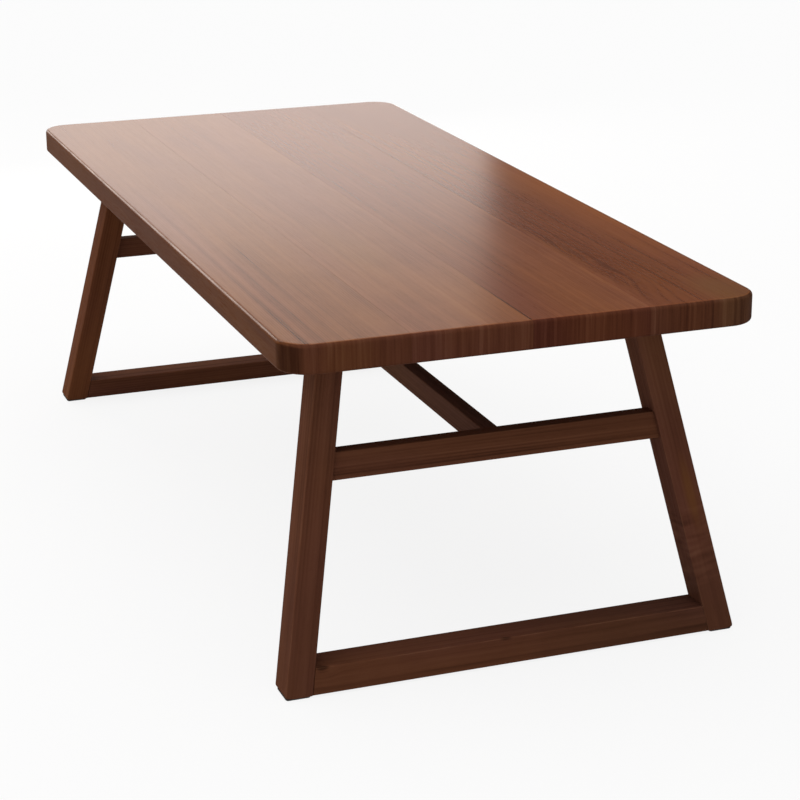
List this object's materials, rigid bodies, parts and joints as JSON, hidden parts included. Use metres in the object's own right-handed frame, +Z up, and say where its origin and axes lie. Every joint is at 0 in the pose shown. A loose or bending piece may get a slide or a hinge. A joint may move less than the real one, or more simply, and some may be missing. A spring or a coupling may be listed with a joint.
{
  "type": "dining table",
  "caption": "Long dining table with a thick plank top, rounded corners and raked trapezoid leg frames, tied together by crossbars and a central stretcher.",
  "frame": {"origin": "on the floor, under the middle of the top", "axes": "+X along the length, towards the end that is nearest in the picture; +Y across the width, towards the right in the picture; +Z up"},
  "size_m": [2.2, 1, 0.75],
  "materials": {
    "top_wood": "satin clear lacquer on brown hardwood",
    "frame_wood": "satin clear lacquer on dark brown hardwood",
    "joint_wood": "bare wood inside the joints",
    "foot_pad": "dark matt rubber",
    "steel": "zinc-plated steel"
  },
  "bodies": {
    "root": {"base_rail_far": "frame_wood", "base_rail_near": "frame_wood", "bearer_bolt_far_1": "steel", "bearer_bolt_far_2": "steel", "bearer_bolt_far_3": "steel", "bearer_bolt_far_4": "steel", "bearer_bolt_near_1": "steel", "bearer_bolt_near_2": "steel", "bearer_bolt_near_3": "steel", "bearer_bolt_near_4": "steel", "crossbar_far": "frame_wood", "crossbar_near": "frame_wood", "foot_pad_far_left": "foot_pad", "foot_pad_far_right": "foot_pad", "foot_pad_near_left": "foot_pad", "foot_pad_near_right": "foot_pad", "leg_far_left": "frame_wood", "leg_far_right": "frame_wood", "leg_near_left": "frame_wood", "leg_near_right": "frame_wood", "stretcher": "frame_wood", "stretcher_peg_far": "joint_wood", "stretcher_peg_near": "joint_wood", "threaded_insert_far_1": "steel", "threaded_insert_far_2": "steel", "threaded_insert_far_3": "steel", "threaded_insert_far_4": "steel", "threaded_insert_near_1": "steel", "threaded_insert_near_2": "steel", "threaded_insert_near_3": "steel", "threaded_insert_near_4": "steel", "top_bearer_far": "frame_wood", "top_bearer_near": "frame_wood", "top_board_1": "top_wood", "top_board_2": "top_wood", "top_board_3": "top_wood", "top_board_4": "top_wood", "top_tongue_1": "joint_wood", "top_tongue_2": "joint_wood", "top_tongue_3": "joint_wood"}
  },
  "joints": []
}
